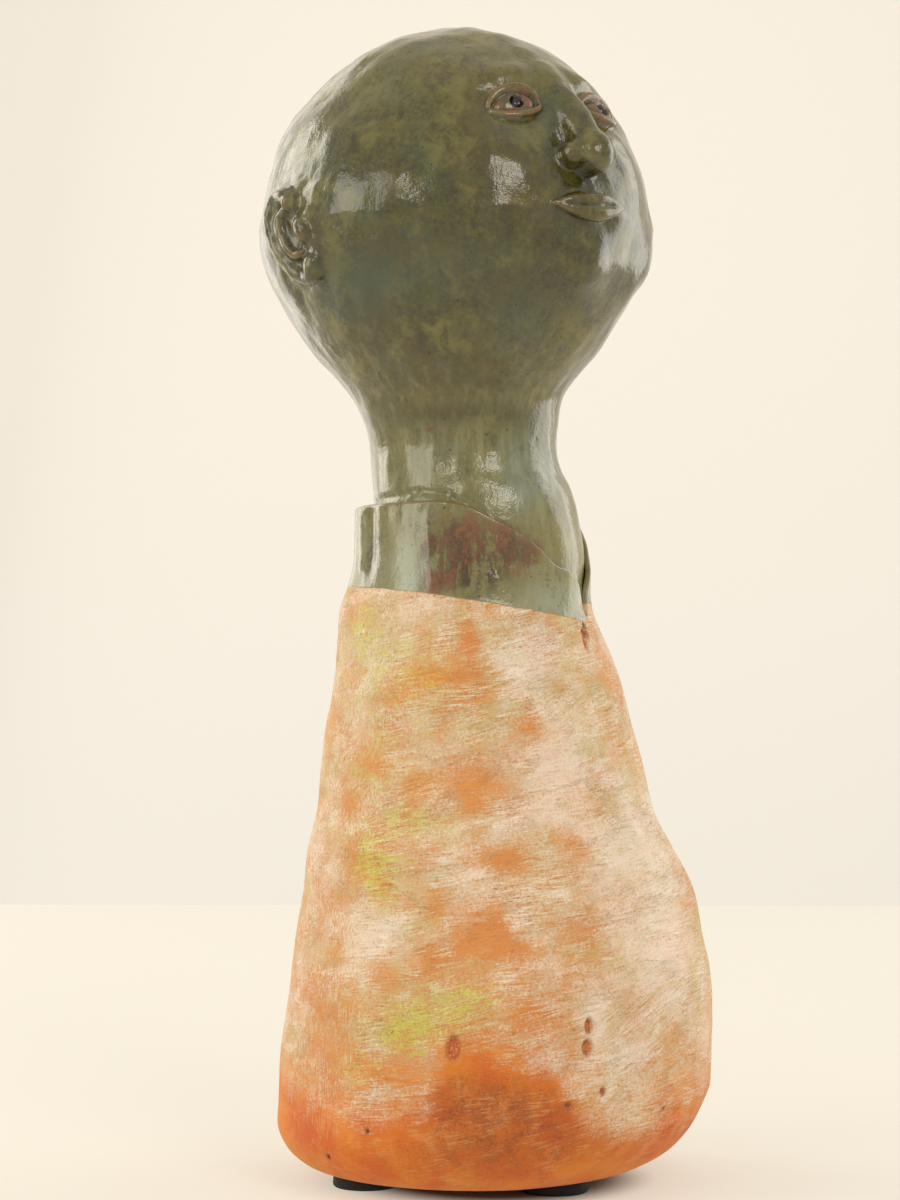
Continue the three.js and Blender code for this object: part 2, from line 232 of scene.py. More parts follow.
def coat_point(angle, height):
    rounding = edge_rounding(angle)
    into_edge = np.clip((FOOT_HEIGHT + rounding - height) / rounding, 0, 1)
    cut_back = rounding * (1 - np.sqrt(1 - into_edge**2))
    below = np.maximum(along(CREST, turn_from(angle, 0), 1) - height, 0)
    cut_back += CREST_SLOPE * below + CREST_STEP * (1 - np.exp(-below / CREST_FADE))
    on_shoulder = bell(turn_from(angle, SHOULDER_ANGLE), SHOULDER_SPREAD) * smooth(196, 216, height)
    radius = along(COAT, height, 1) - cut_back + SHOULDER_SWELL * on_shoulder
    return level_point(angle, radius, along(COAT, height, 2), height)


def skin_point(angle, height):
    above = np.clip((height - HEAD_CENTRE_HEIGHT) / (CROWN_HEIGHT - HEAD_CENTRE_HEIGHT), 0, 1)
    dome = HEAD_RADIUS * (np.sqrt(1 - above**2) - CROWN_SLOPE * np.sin(math.pi * above))
    radius = np.where(above > 0, dome, along(SKIN, height, 1))
    turn = np.radians(turn_from(angle, HEAD_TURN))
    oval = 1 / np.hypot(np.cos(turn) / HEAD_LENGTH_SHARE, np.sin(turn) / HEAD_BREADTH_SHARE)
    radius = radius * mix(1, oval, smooth(NECK_HEIGHT, HEAD_CENTRE_HEIGHT - 20, height))
    return level_point(angle, radius, along(SKIN, height, 2), height)


HEAD_CENTRE = np.array([0, SKIN[-1, 2], HEAD_CENTRE_HEIGHT])
UP = np.array([0, 0, 1])
HEAD_FRONT = outward(HEAD_TURN) * math.cos(HEAD_TILT) + UP * math.sin(HEAD_TILT)
HEAD_UP = -outward(HEAD_TURN) * math.sin(HEAD_TILT) + UP * math.cos(HEAD_TILT)
HEAD_LEFT = outward(HEAD_TURN + 90)


def face_place(direction):
    """Where a direction from the head's centre meets the face: mm to its left, and mm up."""
    front = direction @ HEAD_FRONT
    x = HEAD_RADIUS * np.arcsin(np.clip(direction @ HEAD_LEFT, -1, 1))
    return x, HEAD_RADIUS * np.arctan2(direction @ HEAD_UP, front), front


def way_round(away, centre):
    """How far round the head, in mm, directions from its centre lie from one of them."""
    return np.arccos(np.clip(away @ centre, -1, 1)) * HEAD_RADIUS


def formed(point):
    """Broad, quiet forms of the face: sockets, brow, cheeks and chin."""
    away = unit(point - HEAD_CENTRE)
    reach = np.linalg.norm(point - HEAD_CENTRE, axis=-1)
    x, y, front = face_place(away)
    side = np.abs(x)
    forms = -2.2 * bell(side - EYE_WIDTH, 12) * bell(y - EYE_LEVEL, 8.5)
    forms += 1.6 * bell(side - 0.95 * EYE_WIDTH, 13) * bell(y - BROW_LEVEL - 3, 5.5)
    forms += 1.6 * bell(side - 1.5 * EYE_WIDTH, 12) * bell(y - NOSE_LEVEL - 3, 12)
    forms += 1.5 * bell(x, 15) * bell(y - MOUTH_LEVEL, 11)
    forms += 4.2 * bell(x, 13) * bell(y - CHIN_LEVEL, 9)
    on_face = smooth(0, 20, front * reach) * smooth(NECK_HEIGHT, NECK_HEIGHT + 16, point[..., 2])
    return point + away * (forms * on_face)[..., None]


def swell(point):
    """Slow swells and hollows that hand building leaves, as a few crossed waves."""
    total = np.zeros(len(point))
    waves = 7
    for i in range(waves):
        level = -0.8 + 1.6 * i / (waves - 1)
        across = math.sqrt(1 - level**2)
        way = np.array([across * math.cos(2.4 * i), across * math.sin(2.4 * i), level])
        total += np.sin(2 * math.pi * (point @ way) / (34 + 7 * i) + 1.7 * i)
    return 0.22 * total


# The sheet: its rows run over the underside, round the edge, up the coat, over the lip, down and
# out of the gap behind it, up the chest and neck, and over the lower and the upper head.
UNDERSIDE, EDGE, COAT_FACE, LIP, GAP, CHEST, LOWER_HEAD, UPPER_HEAD, END = range(9)
ROWS = {UNDERSIDE: 8, EDGE: 20, COAT_FACE: 84, LIP: 8, GAP: 8, CHEST: 14, LOWER_HEAD: 40, UPPER_HEAD: 48}
COLUMNS = 200


def bare_surface(angle, row):
    """The point of the bare form at an angle in degrees and a row of the sheet."""
    def underside(at, share):
        centre = np.array([0, COAT[0, 2], FOOT_HEIGHT])
        return mix(centre, coat_point(at, np.full_like(at, FOOT_HEIGHT)), share[:, None])

    def edge(at, share):
        return coat_point(at, FOOT_HEIGHT + edge_rounding(at) * (1 - np.cos(share * math.pi / 2)))

    def coat(at, share):
        bottom = FOOT_HEIGHT + edge_rounding(at)
        return coat_point(at, mix(bottom, rim_height(at) - lip_thickness(at) / 2, share))

    def lip(at, share):
        half = lip_thickness(at) / 2
        turn = math.pi * share
        point = coat_point(at, rim_height(at) - half)
        point -= outward(at) * (half * (1 - np.cos(turn)))[:, None]
        point[:, 2] += half * np.sin(turn)
        return point

    def gap(at, share):
        start = lip(at, np.ones_like(share))
        end = skin_point(at, gap_foot(at) + FILLET)
        depth = (gap_foot(at) - (start[:, 2] + end[:, 2]) / 8) / 0.75
        wall = coat_point(at, depth) - outward(at) * lip_thickness(at)[:, None]
        foot = skin_point(at, depth)
        t = share[:, None]
        curve = (1 - t) ** 3 * start + 3 * t * (1 - t) ** 2 * wall
        return curve + 3 * t * t * (1 - t) * foot + t**3 * end

    def chest(at, share):
        return skin_point(at, mix(gap_foot(at) + FILLET, NECK_HEIGHT, share))

    def lower_head(at, share):
        return formed(skin_point(at, mix(NECK_HEIGHT, HEAD_CENTRE_HEIGHT, share)))

    def upper_head(at, share):
        rise = np.sin(share * math.pi / 2)
        return formed(skin_point(at, mix(HEAD_CENTRE_HEIGHT, CROWN_HEIGHT, rise)))

    point = np.zeros((len(angle), 3))
    places = (underside, edge, coat, lip, gap, chest, lower_head, upper_head)
    for part, place in enumerate(places):
        chosen = (row >= part) & ((row < part + 1) | (row == END))
        point[chosen] = place(angle[chosen], row[chosen] - part)
    on_side = smooth(FOOT_HEIGHT, FOOT_HEIGHT + 15, point[:, 2]) * (row > 0)
    return point + outward(angle) * (swell(point) * on_side)[:, None]


# The features: pellets and coils of clay pressed onto the head, and holes pressed into it. Each
# is a distance field, and the head's surface is found along rays from the head's centre.

def face_direction(x, y):
    across, rise = np.asarray(x) / HEAD_RADIUS, np.asarray(y) / HEAD_RADIUS
    return (
        np.multiply.outer(np.sin(across), HEAD_LEFT)
        + np.multiply.outer(np.cos(across) * np.cos(rise), HEAD_FRONT)
        + np.multiply.outer(np.cos(across) * np.sin(rise), HEAD_UP)
    )


def ear_direction(side, back, rise):
    behind = (EAR_SET_BACK + np.asarray(back)) / HEAD_RADIUS
    over = (EAR_LEVEL + np.asarray(rise)) / HEAD_RADIUS
    return (
        side * np.multiply.outer(np.cos(over) * np.cos(behind), HEAD_LEFT)
        - np.multiply.outer(np.cos(over) * np.sin(behind), HEAD_FRONT)
        + np.multiply.outer(np.sin(over), HEAD_UP)
    )


def on_head(direction, lift):
    """The point that lies `lift` above the bare head in a direction from its centre."""
    direction = np.atleast_2d(direction)
    level = np.hypot(direction[:, 0], direction[:, 1])
    angle = angle_of(direction)
    inside = np.full(len(direction), 0.5 * HEAD_RADIUS)
    outside = np.full(len(direction), 1.5 * HEAD_RADIUS)
    for _ in range(20):
        reach = (inside + outside) / 2
        skin = skin_point(angle, HEAD_CENTRE_HEIGHT + reach * direction[:, 2]) - HEAD_CENTRE
        within = reach * level < np.hypot(skin[:, 0], skin[:, 1])
        inside = np.where(within, reach, inside)
        outside = np.where(within, outside, reach)
    bare = HEAD_CENTRE + direction * inside[:, None]
    return formed(bare) + direction * np.broadcast_to(lift, len(direction))[:, None]


def pellet(direction, lift, half_sizes):
    """The distance from a rounded pellet, with its half sizes across, up and outwards."""
    centre = on_head(direction, lift)[0]
    sideways = unit(np.cross(HEAD_UP, direction))
    axes = np.stack([sideways, np.cross(direction, sideways), direction])

    def distance(point):
        local = (point - centre) @ axes.T / half_sizes
        share = np.linalg.norm(local, axis=1)
        slope = np.linalg.norm(local / half_sizes, axis=1)
        return share * (share - 1) / np.maximum(slope, 1e-6)

    return distance


def coil(points, radii):
    """The distance from a rolled coil of clay."""

    def distance(point):
        nearest = np.full(len(point), 1e3)
        for start, end, thick, thin in zip(points[:-1], points[1:], radii[:-1], radii[1:]):
            way = end - start
            t = np.clip((point - start) @ way / (way @ way), 0, 1)
            gap = np.linalg.norm(point - start - t[:, None] * way, axis=1)
            nearest = np.minimum(nearest, gap - mix(thick, thin, t))
        return nearest

    return distance


def joined(a, b, softness):
    """Two distances as one form, with a soft fillet between them."""
    overlap = np.maximum(softness - np.abs(a - b), 0) / softness
    return np.minimum(a, b) - overlap**2 * softness / 4


def eye_forms(side):
    centre = face_direction(side * EYE_WIDTH, EYE_LEVEL)
    t = np.linspace(0, 1, 17)
    bow = np.sin(math.pi * t)

    def lid(way, high, thickness):
        across = side * EYE_WIDTH - 0.52 * EYE_WIDTH * np.cos(math.pi * t)
        path = on_head(face_direction(across, EYE_LEVEL + way * high * EYE_WIDTH * bow), 0.2 + 2 * bow)
        return coil(path, thickness * (0.35 + 0.65 * bow))

    ball = pellet(centre, -0.6, (0.42 * EYE_WIDTH, 0.3 * EYE_WIDTH, 4.6))
    return {
        "centre": centre,
        "reach": 15,
        "cell": 0.75,
        "joined": [(ball, 0.6), (lid(1, 0.3, 1.7), 0.8), (lid(-1, 0.27, 1.4), 0.8)],
        "pressed": [(pellet(centre, 4.2, (2.5, 2.5, 3)), 0.5)],
    }


def nose_forms():
    t = np.linspace(0, 1, 13)
    level = mix(BROW_LEVEL + 6, NOSE_LEVEL + 2.5, t)
    ridge = coil(on_head(face_direction(0 * t, level), mix(-4.5, 5.8, t**0.9)), 4 + 2 * t)
    tip = pellet(face_direction(0, NOSE_LEVEL + 5), 5.4, (6, 5, 6.2))
    wings = [pellet(face_direction(x, NOSE_LEVEL + 4), 1.8, (3.8, 4.2, 5)) for x in (5.8, -5.8)]
    nostrils = [
        pellet(face_direction(side * NOSTRIL_ACROSS, NOSTRIL_LEVEL), NOSTRIL_LIFT, (1.9, 4.2, 2.3))
        for side in (1, -1)
    ]
    return {
        "centre": face_direction(0, mix(BROW_LEVEL, NOSE_LEVEL, 0.6)),
        "reach": 30,
        "cell": 1.0,
        "joined": [(ridge, 4), (tip, 2), (wings[0], 1.6), (wings[1], 1.6)],
        "pressed": [(nostril, 0.8) for nostril in nostrils],
    }


def mouth_forms():
    t = np.linspace(0, 1, 17)
    x = mix(-1, 1, t) * MOUTH_HALF_WIDTH
    full = np.sin(math.pi * t)

    def lip(level, dip, thickness):
        path = on_head(face_direction(x, MOUTH_LEVEL + level * full - dip * bell(x, 2.6)), 0.3)
        return coil(path, thickness * (0.3 + 0.7 * full))

    hollow = pellet(face_direction(0, mix(MOUTH_LEVEL, NOSE_LEVEL, 0.66)), 1.4, (1.7, 3.2, 1.8))
    return {
        "centre": face_direction(0, MOUTH_LEVEL),
        "reach": 24,
        "cell": 0.9,
        "joined": [(lip(2, 0.7, 2.3), 1.2), (lip(-2.6, 0, 2.7), 0.5)],
        "pressed": [(hollow, 1.6)],
    }


def ear_forms(side):
    t = np.linspace(0, 1, 17)
    turn = np.radians(mix(140, -115, t))
    back = 0.85 * EAR_HALF_WIDTH * np.cos(turn)
    path = on_head(ear_direction(side, back, 0.88 * EAR_HALF_HEIGHT * np.sin(turn)), 1.2)
    rim = coil(path, 2.8 - 0.9 * t)
    turn = np.radians(mix(100, -100, t))
    path = on_head(ear_direction(side, 4 * np.cos(turn) - 0.5, 8 * np.sin(turn) + 1.5), 0.7)
    fold = coil(path, np.full_like(t, 1.6))
    lobe = pellet(ear_direction(side, -3, -0.78 * EAR_HALF_HEIGHT), 0.6, (4, 4.2, 2.6))
    flap = pellet(ear_direction(side, -7, -1), 0.4, (2.8, 4, 2.4))
    hollow = pellet(ear_direction(side, -2, -2), 0.6, (3, 4, 2.2))
    return {
        "centre": ear_direction(side, 0, 0),
        "reach": 28,
        "cell": 1.1 if side < 0 else 1.5,
        "joined": [(rim, 3.5), (fold, 2), (lobe, 2.5), (flap, 2.5)],
        "pressed": [(hollow, 1)],
    }


FEATURES = [ear_forms(-1), ear_forms(1), nose_forms(), mouth_forms(), eye_forms(-1), eye_forms(1)]
TALLEST_FEATURE = 15


def feature_distance(feature, place, bare_gap):
    for form, softness in feature["joined"]:
        bare_gap = joined(bare_gap, form(place), softness)
    for form, softness in feature["pressed"]:
        bare_gap = -joined(-bare_gap, form(place), softness)
    return bare_gap


def featured(point, row):
    """The head's points moved out or in onto the features, along rays from the head's centre."""
    point = point.copy()
    head = np.nonzero(row >= LOWER_HEAD)[0]
    away = unit(point[head] - HEAD_CENTRE)
    reach = np.linalg.norm(point[head] - HEAD_CENTRE, axis=1)
    for feature in FEATURES:
        near = np.nonzero(away @ feature["centre"] > math.cos(feature["reach"] / HEAD_RADIUS))[0]
        bare = reach[near]
        at = bare + TALLEST_FEATURE
        moving = np.arange(len(near))
        while len(moving):
            place = HEAD_CENTRE + away[near[moving]] * at[moving, None]
            gap = feature_distance(feature, place, at[moving] - bare[moving])
            at[moving] -= 0.9 * gap
            moving = moving[gap > 0.02]
        reach[near] = at
    point[head] = HEAD_CENTRE + away * reach[:, None]
    return point


# Marks of the hand, the tool and the kiln on the coat and neck. Pits: angle, height, half width,
# half height, depth, height of the raised rim round it, how much painted shade darkens it inside.
PITS = [
    (-73.1, 53.1, 2.4, 4.1, 1.5, 0.5, 0),
    (-38.6, 59.7, 1.4, 2.6, 1.1, 0.2, 0),
    (-38.7, 52.8, 1.9, 2.8, 1.3, 0.2, 0),
    (-43.2, 35, 1.5, 1.1, 0.8, 0.1, 0.15),
    (-33.7, 38.6, 1.2, 1.5, 0.7, 0.1, 0.1),
    (-12.6, 30.9, 0.7, 0.7, 0.5, 0, 0.3),
    (-111.1, 14.9, 0.8, 1, 0.7, 0, 0.6),
    (-95.5, 25.4, 0.8, 1, 0.7, 0, 0.4),
    (-0.6, 184.8, 1.1, 0.8, 2.4, 0, 1),
    (-2.3, 182.2, 2.2, 1.9, 1.5, 0.1, 0.1),
    (-4.6, 179.2, 1.1, 2.4, 0.9, 0, 0),
]
# Creases: angle and height at both ends, half width, depth (a ridge where it is negative).
CREASES = [
    (-72, 24.4, -62.8, 25.2, 0.6, 0.4),
    (-58, 25.2, -44, 24.8, 0.5, 0.25),
    (-108, 12.2, -100.7, 13.9, 0.5, 0.3),
    (-120, 35.3, -102, 37, 0.6, 0.3),
    (-62.8, 36.2, -54.5, 35.1, 0.5, 0.3),
    (-56.5, 48.9, -46.2, 50.4, 0.6, 0.3),
    (-46, 71.3, -44.9, 43.5, 0.8, 0.25),
    (-40, 72, -10.5, 78, 1.2, -0.3),
    (-137, 225.9, -95, 229, 1.1, 0.7),
    (-95, 229, -78, 227.9, 1.1, 0.7),
    (-78, 227.9, -67, 224.5, 0.9, 0.5),
    (-85, 220, -81, 199, 1.6, -0.4),
    (-55, 214, -51, 203, 1.2, 0.5),
    (-51, 213, -47, 202, 1, -0.5),
    (-129, 205, -130, 221, 2.2, -0.9),
    (-120, 203, -121, 222, 2.6, 0.7),
]
CHIP_HEIGHT = 28
CHIP_ANGLE = -8
CHIP_HALF_WIDTH = 20
CHIP_HALF_HEIGHT = 9


def round_place(point, angle, height):
    """The distances in mm round the coat and up it from a place to each point."""
    radius = np.hypot(point[:, 0], point[:, 1] - AXIS_SET_BACK)
    way = np.degrees(np.arctan2(point[:, 0], -(point[:, 1] - along(COAT, height, 2))))
    return radius * np.radians(turn_from(way, angle)), point[:, 2] - height


def crease_gap(point, crease):
    """How far each point lies from a crease, in its half widths."""
    start_angle, start_height, end_angle, end_height, half_width = crease[:5]
    x, y = round_place(point, start_angle, start_height)
    long = np.radians(end_angle - start_angle) * np.hypot(point[:, 0], point[:, 1] - AXIS_SET_BACK)
    tall = end_height - start_height
    t = np.clip((x * long + y * tall) / (long**2 + tall**2), 0, 1)
    return np.hypot(x - t * long, y - t * tall) / half_width


def pit_share(point, pit):
    """How far each point lies from a pit's middle, in shares of its half size."""
    x, y = round_place(point, *pit[:2])
    return np.hypot(x / pit[2], y / pit[3])


def marks(point):
    """How far each point stands out because of the marks."""
    out = np.zeros(len(point))
    for pit in PITS:
        depth, rim = pit[4:6]
        share = pit_share(point, pit)
        out += rim * bell(share - 1.3, 0.3) - depth * np.exp(-(share**6))
    for crease in CREASES:
        out -= crease[5] * bell(crease_gap(point, crease), 1)
    return out


def rough(point, size):
    return np.array([noise.noise(place) for place in (point / size).tolist()])


def relief(point, row):
    """Uneven clay: lumps of a few sizes, marks, and a crumbled stretch of the lower edge."""
    ears = np.zeros(len(point))
    away = unit(point - HEAD_CENTRE)
    for side in (1, -1):
        ears += 1 - smooth(14, 34, way_round(away, ear_direction(side, 0, 0)))
    ears *= smooth(HEAD_CENTRE_HEIGHT - 45, HEAD_CENTRE_HEIGHT - 35, point[:, 2])
    streaky = bell(point[:, 2] - 265, 45)
    uneven = 0.5 + 0.55 * smooth(HEAD_CENTRE_HEIGHT - 50, HEAD_CENTRE_HEIGHT - 20, point[:, 2])
    out = uneven * (rough(point, 21) + 0.48 * rough(point + 50, 8.5))
    out += 0.35 * streaky * rough(point / np.array([1, 1, 5]) + 10, 6)
    out += 0.06 * rough(point + 90, 3.6) + 0.5 * ears * rough(point + 60, 4.6)
    across, up = round_place(point, CHIP_ANGLE, CHIP_HEIGHT)
    chips = 0.9 * smooth(0, 0.3, rough(point + 30, 5)) + 0.3 * rough(point + 70, 2.4)
    out -= bell(across, CHIP_HALF_WIDTH) * bell(up, CHIP_HALF_HEIGHT) * chips
    out += marks(point)
    return out * smooth(FOOT_HEIGHT, FOOT_HEIGHT + 6, point[:, 2]) * (row > 0)


def surface(angle, row):
    return featured(bare_surface(angle, row), row)


def finished_surface(angle, row):
    point = surface(angle, row)
    axis = point * UP + np.array([0, AXIS_SET_BACK, 0])
    way = unit(point - np.where((row >= LOWER_HEAD)[:, None], HEAD_CENTRE, axis))
    return point + way * relief(point, row)[:, None]


# The mesh, with how long a cell's side may be in each part of it.
PLAIN_CELL = 3.6
RIM_CELL = 1.8
FACE_CELL = 1.9
PIT_CELL = 0.6
CREASE_CELL = 1.4
CREST_CELL = 1.5


def cell_size(point, row):
    size = np.full(len(point), PLAIN_CELL)
    size[(row >= LIP) & (row < CHEST)] = RIM_CELL
    head = row >= LOWER_HEAD
    away = unit(point - HEAD_CENTRE)
    for feature in FEATURES:
        size[head & (way_round(away, feature["centre"]) < feature["reach"])] = FACE_CELL
    for feature in FEATURES:
        close = way_round(away, feature["centre"]) < 0.8 * feature["reach"]
        size[head & close] = feature["cell"]
    outside = (row > EDGE) & (row < LIP) | (row >= CHEST) & (row < LOWER_HEAD)
    for pit in PITS:
        size[outside & (pit_share(point, pit) < 2.2)] = PIT_CELL
    for crease in CREASES:
        size[outside & (crease_gap(point, crease) < 2)] = CREASE_CELL
    crest = along(CREST, angle_of(point), 1)
    size[(row > UNDERSIDE) & (crest > 8) & (np.abs(point[:, 2] - crest) < 2)] = CREST_CELL
    return size


SEAM = HEAD_TURN + 180


def sheet_of_cells():
    """The flat sheet: x is the angle in degrees, y the row."""
    rows = [part + i / count for part, count in ROWS.items() for i in range(count)] + [END]
    columns = SEAM + 360 * np.arange(COLUMNS + 1) / COLUMNS
    sheet = bmesh.new()
    grid = [[sheet.verts.new((column, row, 0)) for column in columns] for row in rows]
    for low, high in zip(grid[:-1], grid[1:]):
        for i in range(COLUMNS):
            sheet.faces.new((low[i], low[i + 1], high[i + 1], high[i]))
    return sheet


def sheet_places(sheet):
    flat = np.array([vertex.co[:2] for vertex in sheet.verts])
    angle, row = flat[:, 0], flat[:, 1]
    near_whole = np.abs(row - np.round(row)) < 1e-5
    return angle, np.where(near_whole, np.round(row), row)


def refine(sheet):
    """Splits the cells that are too long for where they are, except beside the seam."""
    for _ in range(3):
        sheet.verts.ensure_lookup_table()
        sheet.verts.index_update()
        angle, row = sheet_places(sheet)
        point = surface(angle, row)
        size = cell_size(point, row)
        split = set()
        for face in sheet.faces:
            corners = [vertex.index for vertex in face.verts]
            if min(angle[corners]) < SEAM + 4 or max(angle[corners]) > SEAM + 356:
                continue
            sides = point[corners] - point[corners[1:] + corners[:1]]
            if max(np.einsum("ij,ij->i", sides, sides)) > min(size[corners]) ** 2:
                split.update(face.edges)
        bmesh.ops.subdivide_edges(sheet, edges=list(split), cuts=1, use_grid_fill=True)


def finished_mesh(name, build):
    """The build as a mesh whose faces point outwards and are shaded smooth."""
    bmesh.ops.recalc_face_normals(build, faces=build.faces)
    for face in build.faces:
        face.smooth = True
    mesh = bpy.data.meshes.new(name)
    build.to_mesh(mesh)
    build.free()
    return mesh


def figure_mesh():
    sheet = sheet_of_cells()
    refine(sheet)
    angle, row = sheet_places(sheet)
    point = (finished_surface(angle, row) + ORIGIN) * MM
    for vertex, place in zip(sheet.verts, point):
        vertex.co = place
    ends = [v for v, at, r in zip(sheet.verts, angle, row) if at in (SEAM, SEAM + 360) or r in (0, END)]
    bmesh.ops.remove_doubles(sheet, verts=ends, dist=1e-6)
    return finished_mesh("clay_figure", sheet)


def add_object(name, data):
    made = bpy.data.objects.new(name, data)
    bpy.context.scene.collection.objects.link(made)
    return made


def add_piece(name, mesh, material, slot, *nodes):
    piece = add_object(name, mesh)
    mesh.materials.append(material)
    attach(piece, "root")
    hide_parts(*nodes)


def foot_mesh(name, centre):
    """A stick-on rubber foot: a low disc with a rounded edge and a shallow dish in its tread."""
    top = FOOT_HEIGHT - FOOT_CLEARANCE
    flat = FOOT_RADIUS - FOOT_ROUNDING
    profile = [(0, 0.35), (6.4, 0.35), (7, 0.1), (7.6, 0)]
    profile += [
        (flat + FOOT_ROUNDING * math.sin(turn), FOOT_ROUNDING * (1 - math.cos(turn)))
        for turn in np.radians(np.arange(0, 91, 15))
    ]
    profile += [(FOOT_RADIUS - 0.25, top - 0.55), (FOOT_RADIUS - 0.5, top - 0.35)]
    profile += [(FOOT_RADIUS - 0.45, top), (0, top)]
    sides = 72
    foot = bmesh.new()
    rings = []
    for radius, height in profile:
        if radius == 0:
            rings.append([foot.verts.new((*centre, height))])
            continue
        ring = []
        for i in range(sides):
            turn = 2 * math.pi * i / sides
            x, y = centre[0] + radius * math.cos(turn), centre[1] + radius * math.sin(turn)
            ring.append(foot.verts.new((x, y, height)))
        rings.append(ring)
    for low, high in zip(rings[:-1], rings[1:]):
        for i in range(sides):
            j = (i + 1) % sides
            corners = [low[i % len(low)], low[j % len(low)], high[j % len(high)], high[i % len(high)]]
            foot.faces.new(list(dict.fromkeys(corners)))
    for vertex in foot.verts:
        vertex.co = (vertex.co + Vector(ORIGIN)) * MM
    return finished_mesh(name, foot)


# Materials. Each is built from short expressions of nodes. A value in them is a socket, a number or
# the name of a layer that is painted on the mesh.

class Shader:
    def __init__(self, name, roughness=0.5):
        self.material = bpy.data.materials.new(name)
        self.material.use_nodes = True
        self.tree = self.material.node_tree
        self.principled = self.tree.nodes["Principled BSDF"]
        self.set("Roughness", roughness)
        coordinates = self.tree.nodes.new("ShaderNodeTexCoord")
        self.place = self.vector("SCALE", coordinates.outputs["Object"], Scale=1 / MM)
        self.place = self.vector("SUBTRACT", self.place, tuple(ORIGIN))

    def put(self, socket, value):
        if isinstance(value, str):
            layer = self.tree.nodes.new("ShaderNodeAttribute")
            layer.attribute_name = value
            value = layer.outputs["Fac"]
        if isinstance(value, bpy.types.NodeSocket):
            self.tree.links.new(value, socket)
        else:
            socket.default_value = value

    def set(self, name, value):
        self.put(self.principled.inputs[name], value)

    def node(self, kind, *values, operation=None, **inputs):
        made = self.tree.nodes.new(kind)
        if operation:
            made.operation = operation
        for socket, value in zip(made.inputs, values):
            self.put(socket, value)
        for name, value in inputs.items():
            self.put(made.inputs[name], value)
        return made

    def vector(self, operation, *values, **inputs):
        made = self.node("ShaderNodeVectorMath", *values, operation=operation, **inputs)
        return made.outputs["Value" if operation == "DOT_PRODUCT" else "Vector"]

    def math(self, operation, *values):
        return self.node("ShaderNodeMath", *values, operation=operation).outputs[0]

    def add(self, *terms):
        """The sum of the terms, where one in brackets is the product of its values."""
        parts = [self.times(*term) if isinstance(term, tuple) else term for term in terms]
        total = parts[0]
        for part in parts[1:]:
            total = self.math("ADD", total, part)
        return total

    def times(self, *values):
        product = values[0]
        for value in values[1:]:
            product = self.math("MULTIPLY", product, value)
        return product

    def mixed(self, a, b, share):
        return self.add((a, self.math("SUBTRACT", 1, share)), (b, share))

    def step(self, value, low, high):
        """0 below low and 1 above high, with a soft change between them."""
        made = self.node("ShaderNodeMapRange", Value=value, **{"From Min": low, "From Max": high})
        made.interpolation_type = "SMOOTHSTEP"
        return made.outputs["Result"]

    def scaled(self, place, size, shift):
        """Places in units of the size in mm, moved by the shift to another part of a pattern."""
        return self.vector("ADD", self.vector("DIVIDE", place, size), (shift, -shift, 0.5 * shift))

    def noise(self, size, detail=2, roughness=0.5, place=None, shift=0):
        """Noise with features of about the size in mm, from 0 to 1; size may be x, y, z."""
        sizes = size if isinstance(size, tuple) else (size, size, size)
        place = self.scaled(place or self.place, sizes, shift)
        made = self.node("ShaderNodeTexNoise", Vector=place, Scale=1, Detail=detail, Roughness=roughness)
        return made.outputs["Fac"]

    def leaning(self, slope):
        """Places sheared so that level features rise by the slope to the camera's right."""
        height = self.vector("DOT_PRODUCT", self.place, (-slope * ACROSS.x, -slope * ACROSS.y, 1))
        parts = self.node("ShaderNodeSeparateXYZ", Vector=self.place).outputs
        return self.node("ShaderNodeCombineXYZ", X=parts["X"], Y=parts["Y"], Z=height).outputs[0]

    def strokes(self, size, place, ragged, shift):
        """A value from 0 to 1 for each of scattered brush strokes of about the size in mm."""
        ends = self.node("ShaderNodeCombineXYZ", X=ragged, Y=ragged, Z=self.times(ragged, 0.6))
        place = self.vector("ADD", self.scaled(place, size, shift), ends.outputs[0])
        cell = self.node("ShaderNodeTexVoronoi", Vector=place, Scale=1).outputs["Color"]
        return self.vector("DOT_PRODUCT", cell, (1, 0, 0))

    def spots(self, spacing):
        """The distance to the nearest of scattered points, in shares of their spacing."""
        place = self.vector("SCALE", self.place, Scale=1 / spacing)
        return self.node("ShaderNodeTexVoronoi", Vector=place, Scale=1).outputs["Distance"]

    def over(self, below, above, share):
        made = self.tree.nodes.new("ShaderNodeMix")
        made.data_type = "RGBA"
        self.put(made.inputs["Factor"], share)
        self.put(made.inputs[6], colour(below))
        self.put(made.inputs[7], colour(above))
        return made.outputs[2]

    def layered(self, tone, *coats):
        """A tone under thin coats, each given as its own tone and the factors of its share."""
        for above, *factors in coats:
            tone = self.over(tone, above, self.times(*factors))
        return tone

    def bump(self, height, distance, normal=None):
        """A bump whose height is in mm for a height value of 1."""
        made = self.node("ShaderNodeBump", Height=height, Distance=distance * MM, Strength=1)
        if normal is not None:
            self.put(made.inputs["Normal"], normal)
        return made.outputs["Normal"]


def colour(value):
    """A colour given as red, green and blue from 0 to 255 on the screen's scale."""
    if isinstance(value, bpy.types.NodeSocket):
        return value
    shares = [channel / 255 for channel in value]
    return (*[c / 12.92 if c < 0.04045 else ((c + 0.055) / 1.055) ** 2.4 for c in shares], 1)


